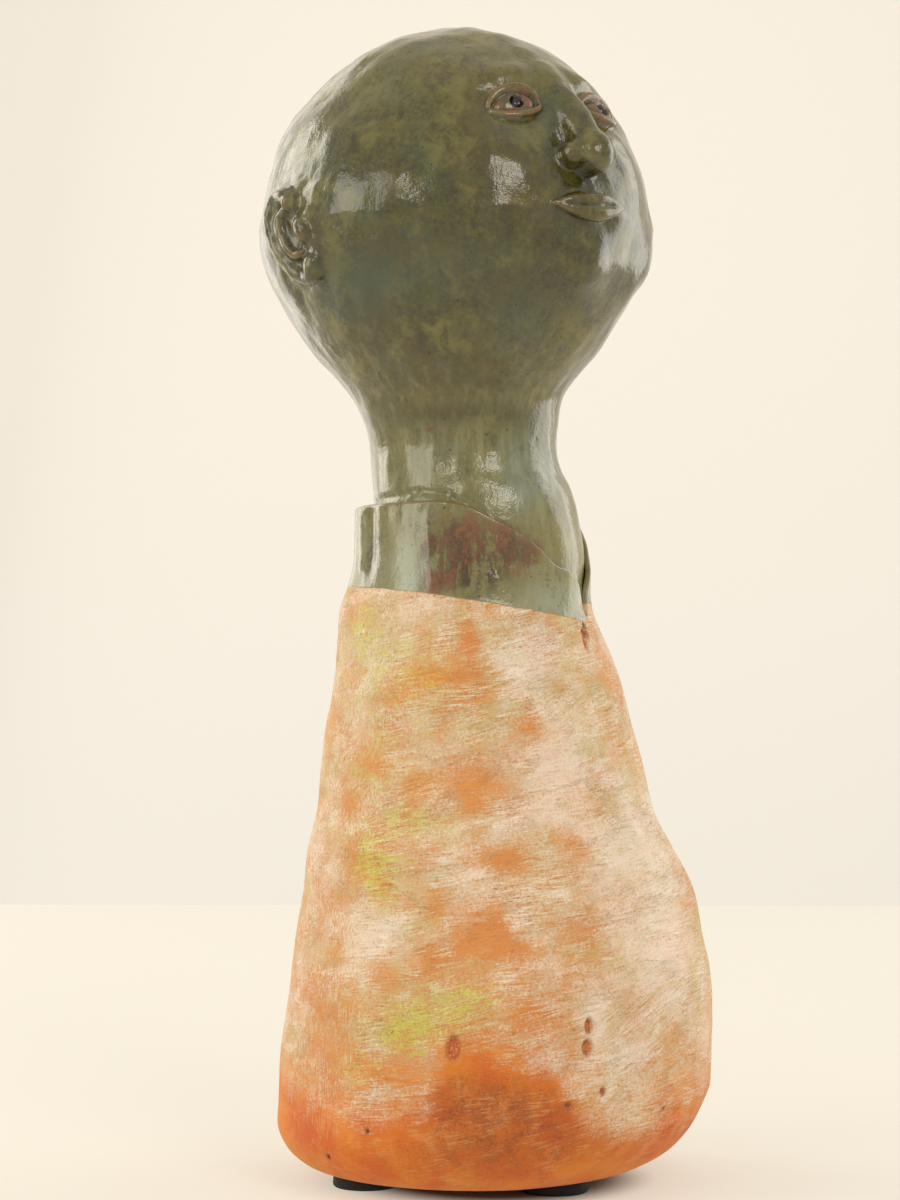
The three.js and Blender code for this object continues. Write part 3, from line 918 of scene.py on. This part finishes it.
def bare_clay(s):
    """Fired clay under thin slips, brushed on in ragged strokes of a few directions."""
    level, steep, slanted = s.leaning(0.1), s.leaning(0.26), s.leaning(0.7)
    level_hairs = s.noise((7, 7, 0.5), 4, 0.66, level, 3)
    steep_hairs = s.noise((7, 7, 0.46), 4, 0.66, steep, 5)
    slanted_hairs = s.noise((7, 7, 0.5), 4, 0.66, slanted, 13)
    upright_hairs = s.noise((0.5, 0.5, 7), 4, 0.66, s.place, 3)
    swing = s.step(s.noise(20, 2, 0.5, shift=17), 0.46, 0.54)
    upright = s.step(s.add("upright", s.noise(13, 3, 0.6, shift=47)), 0.86, 1.02)
    slant = s.step(s.add("slant", s.noise(13, 3, 0.6, shift=67)), 0.86, 1.02)
    hairs = s.mixed(s.mixed(level_hairs, steep_hairs, swing), upright_hairs, upright)
    hairs = s.mixed(hairs, slanted_hairs, slant)
    hairiness = s.step(s.noise((16, 16, 9), 3, 0.6, shift=37), 0.36, 0.62)
    centred = s.times(s.add(hairs, -0.5), s.add(0.25, (hairiness, 0.55)))
    grain = s.noise(0.8, 3, 0.7)
    specks = s.add(grain, -0.5)
    clouds = s.add(s.noise(34, 3, 0.55, shift=11), -0.5)
    patchy = s.add(s.noise(9, 4, 0.65, shift=43), -0.5)
    wide = s.strokes((19, 19, 8), level, s.times(level_hairs, 1.8), 1)
    short = s.strokes((11, 11, 4.5), steep, s.times(steep_hairs, 1.8), 2)
    tall = s.strokes((5, 5, 18), s.place, s.times(upright_hairs, 1.5), 3)
    edge = s.add(("over_band", 40), (clouds, 24), (short, 5), (specks, 22), (centred, 26))
    edge = s.step(edge, -8, 18)

    # The fired clay, with its burnt places, dirt and scuffs.
    smoke = s.add((s.noise(5, 5, 0.75, shift=23), 3), (specks, 2.6), (centred, 1.5))
    smoke = s.step(s.add("burnt", smoke), 1.8, 2.9)
    burnt = s.step("burnt", 0.02, 0.9)
    dirt = s.step(s.add(grain, (centred, 0.9)), 0.53, 0.8)
    scuffs = s.step(s.add((centred, 1.5), (s.noise(11, 4, 0.7, shift=29), 0.8)), 0.4, 0.6)
    clay = s.layered(
        s.over((218, 127, 16), (204, 91, 0), s.step(s.noise(24, 4, 0.6, shift=2), 0.35, 0.65)),
        ((160, 64, 0), burnt, 0.6),
        ((104, 46, 14), smoke, burnt, 0.55),
        ((130, 64, 24), dirt, 0.55),
        ((214, 154, 88), scuffs, 0.5),
        ((206, 142, 76), edge, 0.7),
    )

    # Three slips, the lime-coloured streaks, and gaps and cracks in the slips.
    laid = s.add(("slip", 0.92), (centred, 2.6), (clouds, 0.6))
    first = s.add(laid, (wide, 0.35), (patchy, 1.2), (specks, 1.7), 0.1)
    second = s.add(laid, (short, 0.45), (clouds, 1.2), (patchy, 0.8), (specks, 1.7))
    third = s.add((tall, 0.25), (short, 0.35), (centred, 2.6), (laid, 0.3), (specks, 1.2))
    khaki = s.layered(
        s.over((194, 180, 128), (210, 188, 156), s.step(s.noise(22, 3, 0.6, shift=7), 0.42, 0.58)),
        ((190, 190, 162), s.step(tall, 0.4, 0.9), 0.4),
        ((176, 154, 86), "lime", 0.7),
    )
    streaks = s.add((steep_hairs, 4), (specks, 2.4), (patchy, 1.8), -2)
    streaks = s.step(s.add(("lime", 0.8), streaks), 0.35, 0.8)
    cover = s.math("MAXIMUM", s.add(0.66, ("lime", -0.7)), 0.24)
    pale = s.over((236, 217, 201), (238, 208, 188), s.step(s.noise(26, 3, 0.6, shift=71), 0.45, 0.6))
    gaps = s.step(s.add(centred, (specks, 0.6)), -0.06, -0.2)
    bend = s.math("ABSOLUTE", s.add(s.noise((8, 8, 2.6), 5, 0.7, steep, 53), -0.5))
    cracks = s.times(s.step(bend, 0.016, 0.005), s.step(s.noise(18, 2, 0.5, shift=59), 0.46, 0.58))
    floor = s.over((196, 98, 44), (222, 164, 112), s.step(grain, 0.48, 0.64))
    bare = s.layered(
        clay,
        (khaki, s.step(first, -0.5, 0.7), edge, 0.84),
        ((196, 190, 72), streaks, s.step("lime", 0.02, 0.5), 0.8),
        (pale, s.step(second, -0.1, 1), edge, cover),
        ((238, 230, 212), s.step(third, 0.3, 1), edge, 0.48),
        ((160, 102, 50), gaps, 0.5, edge, s.add(1, "lime")),
        ((172, 112, 58), cracks, edge, 0.5),
        (floor, "hollow"),
        # Painted shade in the pits and concave places of the clay.
        ((62, 30, 16), "dark"),
    )
    tooth = s.add((hairs, 0.55), (grain, 0.3), (wide, 0.15))
    return bare, s.add(0.76, (grain, 0.12)), tooth


def fused_glaze(s):
    """Olive glaze: bluer where it lies thick, and browner where it is thin over edges."""
    mottle = s.noise(7, 5, 0.7, shift=19)
    drift = s.noise(30, 4, 0.6, shift=21)
    pools = s.noise(19, 4, 0.6, shift=31)
    runs = s.noise((3.2, 3.2, 18), 5, 0.66, shift=51)
    flecks = s.noise(1.4, 4, 0.8, shift=41)
    fine = s.add((mottle, 0.35), (flecks, 0.4), (runs, 0.25))
    cool = s.add((s.step(pools, 0.5, 0.68), 0.5), "cool")
    cool_tone = s.over((54, 72, 54), (150, 156, 132), "celadon")
    rusty = s.add((mottle, 2.4), (flecks, 2.4), (runs, 1.8), -3.3)
    rusty = s.step(s.add(("rust", 1.1), rusty), 0.2, 1)
    rust_tone = s.over((66, 26, 8), (124, 70, 36), s.step(s.add(flecks, mottle), 0.85, 1.2))
    glaze = s.layered(
        s.over((34, 34, 2), (82, 78, 18), s.step(fine, 0.36, 0.64)),
        ((78, 64, 14), s.step(drift, 0.46, 0.66), 0.6),
        ((104, 98, 40), s.step(s.noise(15, 5, 0.7, shift=61), 0.48, 0.66), 0.8),
        # Lighter over the crown as a painted reflection of light from above, and in a band lower on the
        # right.
        ((108, 100, 42), "light", s.step(fine, 0.3, 0.6)),
        ((125, 118, 66), "celadon"),
        (cool_tone, cool, 0.7),
        # Paler glaze low down, and a painted pale reflection along the left edge of the head and neck.
        ((152, 149, 112), "pale", s.step(runs, 0.45, 0.7)),
        ((60, 54, 18), s.step(s.add(mottle, flecks, runs), 1.45, 1.15), 0.5),
        # Darker olive where glaze pools, and painted shade in the band under the jaw.
        ((56, 50, 12), "deep", s.step(s.add(mottle, runs), 0.8, 1.1)),
        ((118, 92, 44), "thin", 0.55),
        (rust_tone, rusty, s.step("rust", 0.02, 0.3), 0.8),
        # Painted shade in the pupils, nostrils and concave places of the glaze.
        ((14, 13, 10), "dark"),
        ((34, 26, 16), s.step(s.spots(6), 0.09, 0.05), 0.7),
    )
    ripple = s.add((s.noise(5, 4, 0.6), 0.8), (runs, 0.2))
    return glaze, s.add(0.12, (s.step(mottle, 0.4, 0.8), 0.12)), ripple


def ceramic_material():
    s = Shader("clay_and_glaze")
    start, x_share, y_share = GLAZE_LINE
    level = s.vector("DOT_PRODUCT", s.place, (-x_share, -y_share, 1))
    wander = s.add((s.noise(16), 2.4), (s.noise(3, shift=5), 0.5))
    over_line = s.add(level, wander, ("line_rise", -LINE_RISE))
    glazed = s.step(over_line, start + 1.2, start + 1.7)
    bare, dull, tooth = bare_clay(s)
    glaze, shine, ripple = fused_glaze(s)
    s.set("Base Color", s.over(bare, glaze, glazed))
    s.set("Roughness", s.mixed(dull, shine, glazed))
    normal = s.bump(s.times(s.math("SUBTRACT", 1, glazed), tooth), 0.55)
    normal = s.bump(s.times(glazed, ripple), 0.4, normal)
    s.set("Normal", s.bump(glazed, 0.25, normal))
    s.set("IOR", 1.65)
    s.set("Sheen Weight", 0.06)
    s.set("Sheen Roughness", 0.35)
    s.set("Sheen Tint", colour((255, 232, 190)))
    return s.material


def rubber_material():
    s = Shader("foot_rubber", 0.75)
    s.set("Base Color", s.over((12, 12, 12), (26, 25, 24), s.noise(2, 3)))
    s.set("Normal", s.bump(s.noise(0.5, 2), 0.06))
    return s.material


def stage_material(name, tone, roughness, glow=0):
    """A dull backdrop that may glow slightly as painted light, with a painted shadow where the glow is
    left out under the figure.
    """
    s = Shader(name, roughness)
    s.set("Base Color", colour(tone))
    s.set("Specular IOR Level", 0)
    s.set("Emission Color", colour((255, 247, 229)))
    level = s.vector("MULTIPLY", s.place, (1, 1, 0))
    reach = s.math("SQRT", s.vector("DOT_PRODUCT", level, level))
    # The glow fades out between 56 and 34 mm from the figure's axis, which paints a shadow under the
    # figure.
    s.set("Emission Strength", s.times(s.step(reach, 34, 56), glow))
    return s.material


# Where the slips and glazes lie on the near side: mm across to the camera's right, height, half
# width, half height, and how much more or less of it there is.
SLIP_PATCHES = [
    (-57, 78, 9, 30, -0.2), (-54, 58, 9, 12, -0.4), (-40, 178, 10, 14, 0.4),
    (12, 168, 12, 12, 0.3), (-44, 106, 5, 5, -0.5), (-8, 181, 3, 6, -0.9),
    (-15, 169, 11, 4.5, -0.9), (-34, 161, 5, 2.5, -0.4), (-18, 151, 4, 3, -0.5),
    (-39, 140, 8, 5, -0.7), (-25, 136, 4, 4, -0.7), (-3, 134, 11, 4.5, -0.9),
    (12, 152, 5, 4, -0.6), (21, 165, 3, 2.5, -0.5), (-7, 128, 6, 3, -0.7), (-47, 126, 2, 4, -0.7),
    (-37, 102, 3, 4, -0.6), (-19, 98, 3, 4, -0.6), (-7, 88, 6, 7, -0.9), (-20, 80, 5, 5, -0.8),
    (-34, 74, 5, 4, -0.6), (-51, 81, 4, 4, -0.5), (3, 111, 8, 3.5, -1), (26, 112, 8, 6, -0.4),
    (0, 89, 4, 8, -0.9), (8, 84, 5, 3, -0.7), (29, 85, 6, 10, -0.5), (10, 62, 9, 8, -0.7),
    (-6, 52, 10, 5, -0.6), (24, 52, 4, 7, -0.5), (-45, 52, 5, 4, -0.4), (8, 174, 14, 8, 0.4),
    (10, 136, 8, 4, 0.3), (18, 125, 10, 4, 0.4), (46, 112, 12, 18, 0.6), (52, 82, 12, 20, 0.6),
    (22, 150, 10, 20, 0.3), (32, 62, 4, 8, 0.5), (42, 50, 10, 8, 0.3), (-38, 44, 14, 6, -0.7),
    (-36, 90, 9, 8, 0.3),
]
# The slips' lower edge on that side: mm across, height.
SLIP_EDGE = np.array([
    [-75, 36], [-58, 35], [-48, 33], [-36, 35], [-24, 39], [-12, 51], [4, 54], [14, 53], [23, 40],
    [28, 33], [44, 26], [56, 30], [75, 37],
])
SLIP_EDGE_BEHIND = 34
LIME_PATCHES = [
    (-36, 118, 18, 22, 0.45), (-34, 168, 20, 24, 0.5), (-42, 44, 12, 5, 0.5),
    (-14, 78, 28, 12, 0.2), (-42, 182, 6, 8, 0.5), (-20, 122, 12, 4, 0.35), (-40, 110, 5, 6, 0.6),
    (-36, 99, 4, 6, 0.5), (-33, 58, 9, 6, 0.8), (-24, 60, 8, 8, 0.9), (-13, 63, 8, 6, 0.6),
    (-3, 70, 14, 4, 0.4),
]
SLANT_PATCHES = [
    (46, 64, 18, 26, 0.8), (22, 158, 12, 12, 0.7), (34, 120, 14, 12, 0.5),
]
BURNT_PATCHES = [
    (0, 33, 27, 13, 1), (-10, 17, 30, 7, 0.4), (30, 22, 16, 8, 0.35),
]
RUST_PATCHES = [
    (-12, 215, 12, 7, 0.95), (4, 211, 3, 6, 1), (10, 208, 6, 6, 0.9), (-18, 200, 5, 5, 1),
    (-6, 205, 8, 5, 0.4), (-21, 249, 3, 1.5, 0.8),
]
# Darker olive glaze, pooled round the collar's rust and on the head; the wide band at height 254 under
# the jaw is painted shade.
POOLED_GLAZE_AND_JAW_SHADE_PATCHES = [
    (-28, 304, 30, 7, 0.6), (8, 292, 10, 6, 0.4), (-12, 254, 30, 4, 0.8), (-37, 208, 3, 10, 0.5),
    (-8, 206, 15, 12, 0.9), (-6, 201, 10, 7, 0.45), (-21, 213, 3, 11, 0.8),
    (-41, 205, 2.5, 14, 0.8), (-8, 268, 12, 6, 0.5),
]
COOL_PATCHES = [
    (-24, 300, 32, 8, 0.5), (-41, 294, 14, 9, 0.8), (7, 284, 12, 8, 0.7), (-20, 240, 12, 10, 0.4),
    (-30, 205, 10, 12, 0.5), (20, 194, 14, 7, 1), (9, 236, 8, 15, 0.8), (-24, 198, 6, 8, 0.6),
    (12, 236, 8, 10, 0.7),
]

# The glaze's lower edge: its height on the axis and how it slopes, and its rise beside the notch.
GLAZE_LINE = (189.6, -0.138, 0.0975)
LINE_RISE = 7


def near_side(point):
    return smooth(-10, 10, point @ np.array(AWAY))


def patches(point, places):
    """The patches' sum at each point, on the camera's side alone."""
    across = point @ np.array(ACROSS)
    total = np.zeros(len(point))
    for centre, height, half_width, half_height, amount in places:
        total += amount * bell(across - centre, half_width) * bell(point[:, 2] - height, half_height)
    return total * near_side(point)


def sharpness(mesh, point):
    """How sharply the surface bulges at each point, in 1/mm, evened out over its neighbours."""
    ends = np.empty(2 * len(mesh.edges), dtype=int)
    mesh.edges.foreach_get("vertices", ends)
    a, b = ends.reshape(-1, 2).T
    normal = np.empty(3 * len(point))
    mesh.vertex_normals.foreach_get("vector", normal)
    normal = normal.reshape(-1, 3)
    way = point[b] - point[a]
    square = np.einsum("ij,ij->i", way, way)
    count = len(point)
    ends_both = np.concatenate([a, b])
    drop = np.concatenate([
        -np.einsum("ij,ij->i", way, normal[a]) / square,
        np.einsum("ij,ij->i", way, normal[b]) / square,
    ])
    number = np.bincount(ends_both, minlength=count)
    bulge = 2 * np.bincount(ends_both, weights=drop, minlength=count) / number
    for _ in range(2):
        around = np.bincount(ends_both, weights=bulge[np.concatenate([b, a])], minlength=count) / number
        bulge = (bulge + around) / 2
    return bulge


def paint(mesh):
    """Stores how much of each slip and glaze lies at each point of the mesh, and where shade and
    reflections are painted on it.
    """
    flat = np.empty(3 * len(mesh.vertices))
    mesh.vertices.foreach_get("co", flat)
    point = flat.reshape(-1, 3) / MM - ORIGIN
    height = point[:, 2]
    angle = angle_of(point)
    round_from_front = turn_from(angle, 0)
    bulge = sharpness(mesh, point)
    eyes = np.zeros(len(point))
    # Painted shade, with glaze pooled black in them, inside the pupils and nostrils.
    pupils = np.zeros(len(point))
    for side in (1, -1):
        towards = face_direction(side * EYE_WIDTH, EYE_LEVEL)
        eyes += bell(np.linalg.norm(point - on_head(towards, 2)[0], axis=1), 6.5)
        pupils += 1 - smooth(2, 2.9, np.linalg.norm(point - on_head(towards, 3)[0], axis=1))
        nostril = on_head(face_direction(side * NOSTRIL_ACROSS, NOSTRIL_LEVEL), NOSTRIL_LIFT)[0]
        pupils += 1 - smooth(1.6, 3.2, np.linalg.norm(point - nostril, axis=1))
    across = point @ np.array(ACROSS)
    band_top = mix(SLIP_EDGE_BEHIND, along(SLIP_EDGE, across, 1), near_side(point))
    on_left = smooth(250, 290, height)
    hollow = np.zeros(len(point))
    # Painted shade inside the pits and in a thin ring round each of them.
    holes = np.zeros(len(point))
    for pit in PITS:
        share = pit_share(point, pit)
        beside = np.abs(height - pit[1]) < 3 * pit[3]
        inside = np.exp(-(share**6)) * beside
        hollow += inside
        holes += pit[6] * inside + 0.07 * bell(share - 1.05, 0.2) * beside
    layers = {
        "slip": patches(point, SLIP_PATCHES),
        "lime": patches(point, LIME_PATCHES),
        "burnt": patches(point, BURNT_PATCHES),
        "cool": patches(point, COOL_PATCHES),
        # Pooled glaze, with painted shade in the band under the jaw.
        "deep": patches(point, POOLED_GLAZE_AND_JAW_SHADE_PATCHES),
        "rust": patches(point, RUST_PATCHES) + eyes,
        "slant": patches(point, SLANT_PATCHES),
        "upright": bell(turn_from(angle, -128), 26) + 0.5 * bell(turn_from(angle, 60), 40),
        "celadon": 0.45 * (1 - smooth(208, 236, height)) + 0.5 * (1 - smooth(236, 285, height)),
        # Paler glaze low on the neck and collar, and a painted pale reflection along the left edge of the
        # head and neck.
        "pale": 0.5 * (1 - smooth(225, 300, height)) + 0.9 * bell(turn_from(angle, -140), 13) * on_left,
        # Lighter glaze over the crown, where it is a painted reflection of light from above, and in a
        # band about 277 mm up on the camera's right.
        "light": 0.7 * smooth(330, 378, height) + 0.6 * bell(height - 277, 14) * smooth(-15, 15, across),
        "thin": smooth(0.1, 0.5, bulge),
        # Painted shade in the pupils, nostrils and pits, and in every concave place of the surface.
        "dark": pupils + holes + 0.5 * smooth(0.15, 0.6, -bulge),
        "hollow": hollow,
        "over_band": (height - band_top) / 40,
        "line_rise": smooth(3, 16, round_from_front) * (1 - smooth(70, 120, round_from_front)),
    }
    for name, amount in layers.items():
        mesh.attributes.new(name, "FLOAT", "POINT").data.foreach_set("value", np.clip(amount, -1, 1))


ceramic = ceramic_material()
rubber = rubber_material()
clay_mesh = figure_mesh()
paint(clay_mesh)
add_piece("clay_figure", clay_mesh, ceramic, "clay", "figure")
for number, centre in enumerate(FEET, 1):
    name = f"rubber_foot_{number}"
    add_piece(f"{name}_detailed", foot_mesh(f"{name}_detailed", centre), rubber, "foot_rubber", name)


# Camera, stage and light.

def add_camera():
    data = bpy.data.cameras.new("camera")
    data.sensor_fit = "VERTICAL"
    data.sensor_height = LONG_SIDE
    data.lens = LENS
    data.clip_end = 50
    camera = add_object("camera", data)
    camera.location = BASE + CAMERA_DISTANCE * AWAY + Vector((0, 0, CAMERA_HEIGHT))
    aim = BASE + AIM_ACROSS * ACROSS + Vector((0, 0, AIM_HEIGHT))
    camera.rotation_euler = (aim - camera.location).to_track_quat("-Z", "Y").to_euler()
    bpy.context.scene.camera = camera


def stage_plane(name, corners, material):
    mesh = bpy.data.meshes.new(name)
    mesh.from_pydata(corners, [], [(0, 1, 2, 3)])
    mesh.materials.append(material)
    add_object(name, mesh)


def add_stage():
    # The table glows as painted light, except in a painted shadow under the figure.
    table = stage_material("table", (170, 166, 158), 0.6, 0.47)
    wall = stage_material("wall", (242, 238, 230), 0.9)
    wide = STAGE_HALF_WIDTH * ACROSS
    far = BASE - TABLE_BEHIND * AWAY
    near = BASE + TABLE_IN_FRONT * AWAY
    stage_plane("table", [near - wide, near + wide, far + wide, far - wide], table)
    foot = BASE - WALL_BEHIND * AWAY + Vector((0, 0, WALL_FOOT))
    top = BASE - WALL_BEHIND * AWAY + Vector((0, 0, WALL_TOP))
    stage_plane("wall", [foot - wide, foot + wide, top + wide, top - wide], wall)


def add_light(name, turn, elevation, distance, width, height, tint, radiance):
    """A flat soft light, placed by its turn to the right of the camera and its elevation."""
    data = bpy.data.lights.new(name, "AREA")
    data.shape = "RECTANGLE"
    data.size = width
    data.size_y = height
    data.color = tint
    data.energy = radiance * math.pi * width * height
    light = add_object(name, data)
    turn, elevation = math.radians(turn), math.radians(elevation)
    level = AWAY * math.cos(turn) + ACROSS * math.sin(turn)
    way = level * math.cos(elevation) + Vector((0, 0, math.sin(elevation)))
    middle = BASE + Vector((0, 0, 0.25))
    light.location = middle + distance * way
    light.rotation_euler = way.to_track_quat("Z", "Y").to_euler()
    return light


def add_window(turn, elevation, distance, pane_width, pane_height, bar, columns, rows, tint, radiance):
    """A window of several panes, each a flat light, with a bar's width between them."""
    for i in range(columns):
        for j in range(rows):
            pane = add_light(
                f"pane_{turn}_{i}_{j}", turn, elevation, distance, pane_width, pane_height, tint, radiance
            )
            right = pane.rotation_euler.to_matrix() @ Vector((1, 0, 0))
            up = pane.rotation_euler.to_matrix() @ Vector((0, 1, 0))
            pane.location += right * (i - (columns - 1) / 2) * (pane_width + bar)
            pane.location += up * (j - (rows - 1) / 2) * (pane_height + bar)


def add_world():
    world = bpy.data.worlds.new("room")
    world.use_nodes = True
    background = world.node_tree.nodes["Background"]
    background.inputs["Color"].default_value = (1, 0.96, 0.9, 1)
    background.inputs["Strength"].default_value = 0.76
    bpy.context.scene.world = world


# Turn to the right of the camera and elevation in degrees, distance, width and height in metres,
# tint, radiance.
LIGHTS = {
    "left_strip": (-119, 17, 1.35, 0.5, 0.95, (1, 0.96, 0.84), 3),
    "left_window": (-66, 17, 1.35, 0.7, 0.95, (1, 0.97, 0.89), 2.3),
    "back_left": (-142, 6, 1.5, 1.1, 1.9, (1, 0.98, 0.94), 0.95),
    "right_window": (120, 12, 1.4, 1, 1.2, (1, 0.98, 0.94), 2),
    "left_lamp": (-30, 30, 1.4, 0.22, 0.28, (1, 0.93, 0.78), 5),
}

bpy.context.scene.view_settings.view_transform = "Standard"
add_camera()
add_stage()
for light_name, light in LIGHTS.items():
    add_light(light_name, *light)
add_window(27, 30, 1.4, 0.22, 0.3, 0.05, 2, 2, (1, 0.95, 0.86), 5.5)
add_world()
